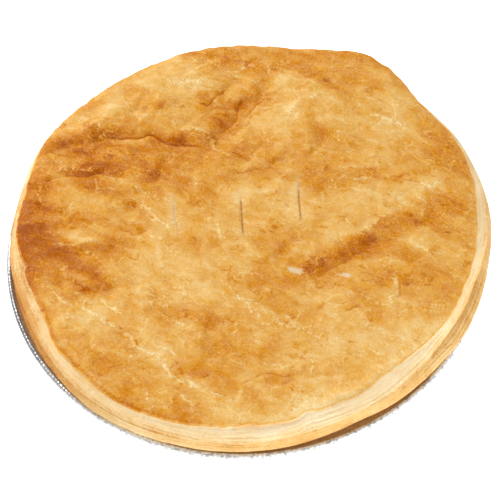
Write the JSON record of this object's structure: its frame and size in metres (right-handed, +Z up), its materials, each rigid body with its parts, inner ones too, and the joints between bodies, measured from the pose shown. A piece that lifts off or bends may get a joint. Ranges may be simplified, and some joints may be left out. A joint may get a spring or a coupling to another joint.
{
  "type": "minced beef pie",
  "caption": "Round uncut double-crust meat pie with a puff pastry lid, baked in a shallow foil tray and resting flat.",
  "frame": {"origin": "on the tray's axis, at the underside of its base, where the pie rests", "axes": "+Z up through the lid, -Y to the front, where the most foil shows, +X to the side where the pastry overhangs the tray"},
  "size_m": [0.2197, 0.2158, 0.0525],
  "materials": {
    "foil": "bright crumpled foil",
    "edge_pastry": "pale golden, layered and dry",
    "lid_pastry": "golden brown, flaky, with a faint sheen"
  },
  "bodies": {
    "root": {"foil_tray": "foil", "base_crust": "edge_pastry", "lid": "lid_pastry"}
  },
  "joints": []
}
